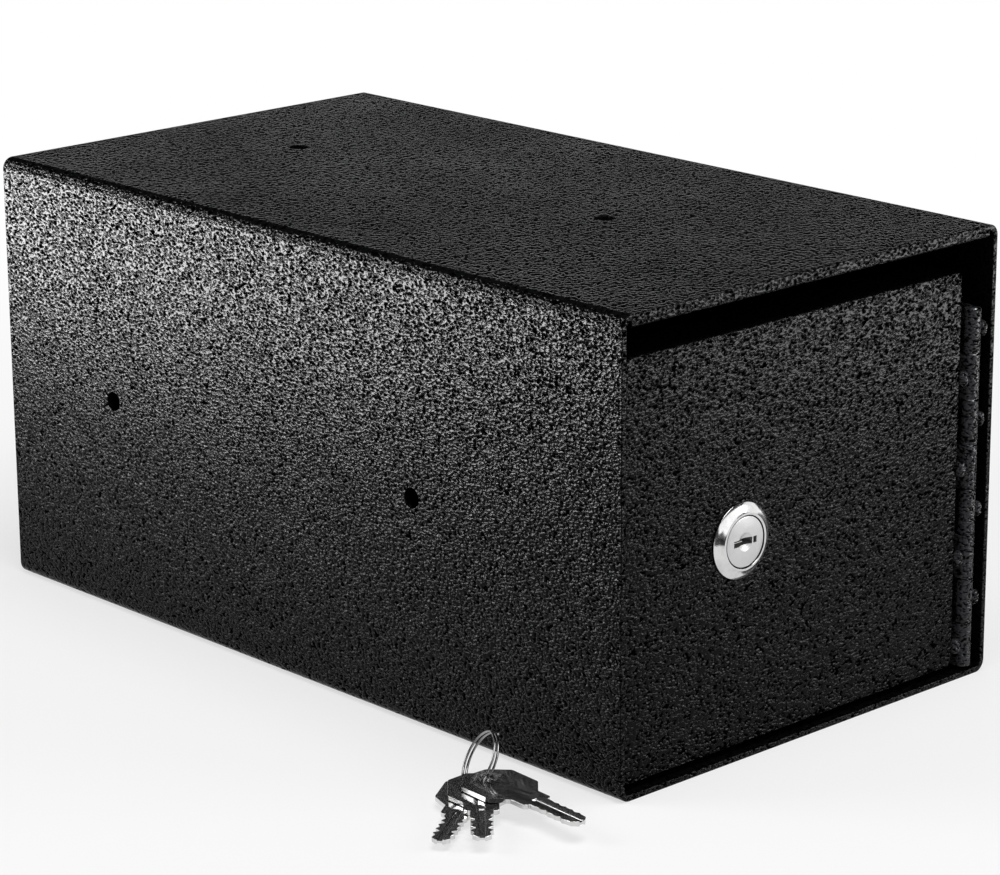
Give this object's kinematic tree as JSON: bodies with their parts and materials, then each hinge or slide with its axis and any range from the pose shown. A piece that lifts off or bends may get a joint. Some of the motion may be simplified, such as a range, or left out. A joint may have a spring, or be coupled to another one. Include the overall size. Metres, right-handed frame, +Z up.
{
  "type": "cash drop box",
  "caption": "Black steel drop box with a slot above a hinged, locking door, a baffle behind the slot, and its keys on a ring.",
  "frame": {"origin": "middle of the underside of the sleeve", "axes": "+X to the right as seen from the front, -Y out of the front, +Z up"},
  "size_m": [0.2339, 0.3185, 0.152],
  "materials": {
    "black_coat": "black powder coat with a coarse wrinkled grain, half gloss",
    "zinc": "bright zinc plate",
    "nickel": "nickel plate",
    "brass": "stamped brass"
  },
  "bodies": {
    "box": {"box_sleeve": "black_coat", "back_panel": "black_coat", "back_weld_beads": "black_coat", "baffle_plate": "black_coat", "strike_bracket": "zinc", "inner_weld_beads": "black_coat", "wall_hinge_leaf": "black_coat", "hinge_pin": "zinc", "wall_weld_beads": "black_coat"},
    "door": {"door_panel": "black_coat", "door_hinge_leaf": "black_coat", "door_weld_beads": "black_coat", "lock_body": "nickel", "lock_washer": "zinc", "lock_nut": "zinc"},
    "lock_core": {"lock_plug": "nickel", "lock_wafers": "brass", "wafer_springs": "zinc", "stop_washer": "zinc", "cam": "zinc", "cam_washer": "zinc", "cam_screw": "zinc"},
    "ring": {"key_ring": "nickel"},
    "top_key": {"key_1": "nickel"},
    "middle_key": {"key_2": "nickel"},
    "bottom_key": {"key_3": "nickel"}
  },
  "joints": [
    {"name": "door_swing", "type": "hinge", "parent": "box", "child": "door", "pos_m": [0.0771, -0.1497, 0.064], "axis": [0, 0, 1], "range_deg": [0, 135]},
    {"name": "lock_turn", "type": "hinge", "parent": "door", "child": "lock_core", "pos_m": [-0.031, -0.15, 0.071], "axis": [0, 1, 0], "range_deg": [0, 90]},
    {"name": "key_ring_lift", "type": "slide", "parent": "box", "child": "ring", "axis": [0, 0, 1], "range_m": [0, 0.06]},
    {"name": "top_key_swing", "type": "hinge", "parent": "ring", "child": "top_key", "pos_m": [-0.1115, -0.1223, 0.00655], "axis": [0, 0, 1], "range_deg": [-15, 15]},
    {"name": "middle_key_swing", "type": "hinge", "parent": "ring", "child": "middle_key", "pos_m": [-0.11109, -0.11909, 0.0048], "axis": [0, 0, 1], "range_deg": [-15, 15]},
    {"name": "bottom_key_swing", "type": "hinge", "parent": "ring", "child": "bottom_key", "pos_m": [-0.11153, -0.1178, 0.00305], "axis": [0, 0, 1], "range_deg": [-15, 15]}
  ]
}
